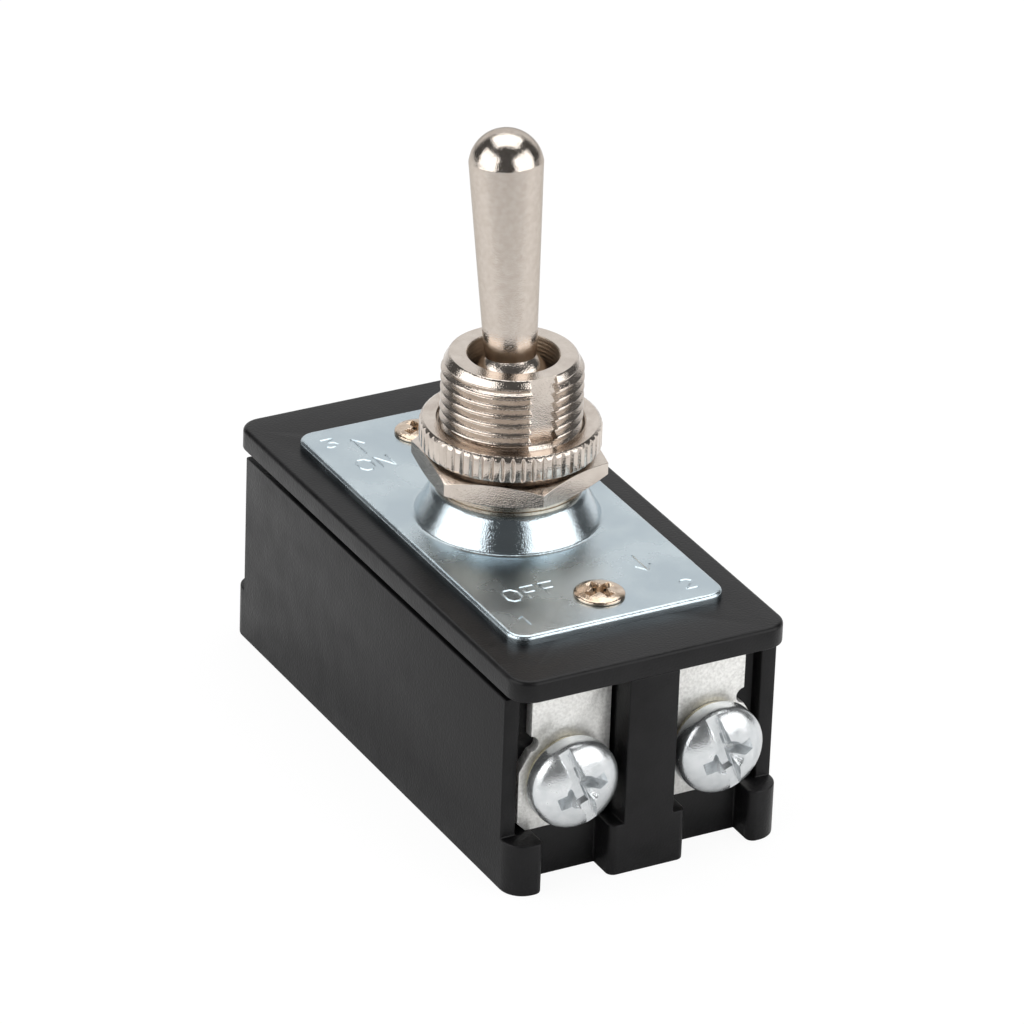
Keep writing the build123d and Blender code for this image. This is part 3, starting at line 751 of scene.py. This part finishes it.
def corner(middle, radius, start, stop, steps):
    """Points along an arc in an outline, from one angle to the other in degrees."""
    return [
        (
            middle[0] + radius * cos(radians(start + (stop - start) * step / steps)),
            middle[1] + radius * sin(radians(start + (stop - start) * step / steps)),
        )
        for step in range(steps + 1)
    ]


bat = turned(
    "bat_lever",
    [(0, -17.5), (1.5, -17.5)]
    + corner((0, 0), 3.25, -62.5, 0, 12)
    + corner((0, 1.9), 3.25, 0, 48.6, 20)
    + [(2.15, 4.42), (2.185, 4.8), (2.245, 5.3), (2.69, 13.3)]
    + [(3.12, 21.3), (3.115, 21.4), (3.09, 21.48)]
    + corner((0, 20.95), 3.13, 10.5, 90, 18),
)
bat.rotation_euler = (-lean, 0, 0)
bat.location.z = pivot_height * mm
bpy.ops.object.transform_apply(location=True, rotation=True, scale=True)
bpy.ops.mesh.primitive_cylinder_add(
    vertices=48, radius=lever_hole_radius * mm, depth=lever_hole_length * mm
)
pin_hole = bpy.context.object
pin_hole.rotation_euler = (0, pi / 2, 0)
pin_hole.location.z = pivot_height * mm
bpy.ops.object.transform_apply(location=True, rotation=True, scale=True)
combine(bat, pin_hole)
smooth(bat, 20)
lever_nickel = surface(
    "satin_nickel", (0.58, 0.51, 0.45), (0.64, 0.575, 0.515), 0.5, 1.0, (0.11, 0.16), 0.1, 0.014
)
nodes, links = lever_nickel.node_tree.nodes, lever_nickel.node_tree.links
along = nodes.new("ShaderNodeVectorMath")
along.operation = "DOT_PRODUCT"
along.inputs[1].default_value = (0, sin(lean), cos(lean))
links.new(nodes["where"].outputs["Object"], along.inputs[0])
handle = nodes.new("ShaderNodeMath")
handle.operation = "LESS_THAN"
handle.inputs[1].default_value = dome_start * mm
links.new(along.outputs["Value"], handle.inputs[0])
finish = nodes.new("ShaderNodeMapRange")
finish.inputs["To Min"].default_value = dome_roughness
links.new(handle.outputs["Value"], finish.inputs["Value"])
links.new(nodes["gloss"].outputs["Result"], finish.inputs["To Max"])
links.new(finish.outputs["Result"], nodes["Principled BSDF"].inputs["Roughness"])
nodes["Principled BSDF"].inputs["Specular Tint"].default_value = edge_tint
bat.data.materials.append(lever_nickel)
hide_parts("toggle_lever")
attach(bat, "lever")


# Terminals: four tinned brass strips, hooked over the end walls and running down into the bays.
# Each has a notch in its outer edge.
strip_rounding = 0.08
tin = surface(
    "tin_plate", (0.74, 0.735, 0.71), (0.94, 0.935, 0.91), 0.28, 0.7, (0.35, 0.5), 0.12, 0.025
)
for end_name in ("front", "rear"):
    for side_name in ("left", "right"):
        strip = moulded_from(
            f"terminal_{end_name}_{side_name}", f"strip_{end_name}_{side_name}", strip_rounding
        )
        strip.data.materials.append(tin)
        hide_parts(f"terminal_{end_name}_{side_name}")
        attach(strip, "housing")


# Terminal screws and washers: zinc plated steel pan heads with a slot across a cross recess, each
# screwed through a yellowish washer into its terminal.
screw_column, screw_row, washer_row, screw_height = 6.8, 24.1, 23.3, 9.3
pan_screw_outline = (
    [(0, -3.55), (1.5, -3.55), (1.95, -3.2), (1.95, 0), (3.8, 0), (3.95, 0.12), (3.95, 1.0)]
    + [(3.95 * cos(radians(a)), 1.0 + 1.8 * sin(radians(a))) for a in range(6, 90, 6)]
    + [(0, 2.8)]
)
slot_size, slot_middle = (1.05, 9.0, 2.0), 2.5
cross = {"top": 3.2, "depth": 2.2, "length": 5.3, "width": 1.35, "narrow": 0.6}
dish_low, dish_high, dish_depth, dish_middle = 0.4, 1.9, 2.2, 2.1
washer_outline = [
    (2.2, 0.03), (3.42, 0.03), (3.5, 0.1), (3.5, 0.7), (3.42, 0.77), (2.2, 0.77), (2.2, 0.03),
]
bright_zinc = surface(
    "bright_zinc", (0.63, 0.655, 0.67), (0.75, 0.77, 0.78), 0.9, 0.9, (0.18, 0.28), 0.11, 0.016
)
yellow_zinc = surface(
    "yellow_zinc", (0.46, 0.42, 0.31), (0.6, 0.56, 0.44), 0.9, 1.0, (0.2, 0.32), 0.15, 0.015
)
for end_name, end in (("front", -1), ("rear", 1)):
    for side_name, column in (("left", -1), ("right", 1)):
        name = f"{end_name}_{side_name}"
        slot_turn = 20 if column * end < 0 else 22
        facing = (pi / 2, 0, 0 if end < 0 else pi)
        screw = turned(f"pan_screw_{name}", pan_screw_outline, 96)
        bpy.ops.mesh.primitive_cube_add(size=mm)
        slot = bpy.context.object
        slot.scale = slot_size
        slot.location.z = slot_middle * mm
        slot.rotation_euler = (0, 0, radians(slot_turn))
        bpy.ops.object.transform_apply(location=True, rotation=True, scale=True)
        combine(screw, slot)
        combine(screw, cross_recess(slot_turn, **cross))
        bpy.ops.mesh.primitive_cone_add(
            vertices=48, radius1=dish_low * mm, radius2=dish_high * mm, depth=dish_depth * mm
        )
        dish = bpy.context.object
        dish.location.z = dish_middle * mm
        bpy.ops.object.transform_apply(location=True, rotation=True, scale=True)
        combine(screw, dish)
        soften(screw, 0.05, 2, 35)
        smooth(screw, 35)
        screw.rotation_euler = facing
        screw.location = (column * screw_column * mm, end * screw_row * mm, screw_height * mm)
        bpy.ops.object.transform_apply(location=True, rotation=True, scale=True)
        screw.data.materials.append(bright_zinc)
        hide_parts(f"terminal_screw_{name}")
        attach(screw, f"screw_{name}")

        washer = turned(f"washer_{name}", washer_outline, 96)
        smooth(washer, 35)
        washer.rotation_euler = facing
        washer.location = (column * screw_column * mm, end * washer_row * mm, screw_height * mm)
        bpy.ops.object.transform_apply(location=True, rotation=True, scale=True)
        washer.data.materials.append(yellow_zinc)
        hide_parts(f"terminal_washer_{name}")
        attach(washer, "housing")


# Inside pieces: a brown actuator on the lever's stem, two sprung plungers, and rockers and contacts
# of brass and silver. They are seen only when the cover is off.
brown_moulding = surface(
    "brown_moulding", (0.1, 0.05, 0.025), (0.16, 0.085, 0.045), 1.5, 0.0, (0.4, 0.55), 0.2, 0.01
)
spring_brass = surface(
    "spring_brass", (0.6, 0.44, 0.2), (0.72, 0.56, 0.3), 1.2, 1.0, (0.25, 0.4), 0.15, 0.004
)
silver = surface(
    "silver_contact", (0.75, 0.74, 0.7), (0.86, 0.85, 0.82), 0.6, 1.0, (0.2, 0.35), 0.1, 0.003
)
steel_wire = surface(
    "steel_wire", (0.3, 0.3, 0.31), (0.46, 0.46, 0.47), 0.5, 1.0, (0.25, 0.4), 0.1, 0.003
)
inside = {
    "actuator": brown_moulding,
    "pivot_pin": steel_wire,
    "plunger_left": brown_moulding,
    "plunger_right": brown_moulding,
    "plunger_spring_left": steel_wire,
    "plunger_spring_right": steel_wire,
    "rocker_left": spring_brass,
    "rocker_right": spring_brass,
    "moving_contact_left": silver,
    "moving_contact_right": silver,
    "fixed_contact_left": silver,
    "fixed_contact_right": silver,
}
for node, material in inside.items():
    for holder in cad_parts[node].material_slots:
        holder.material = material
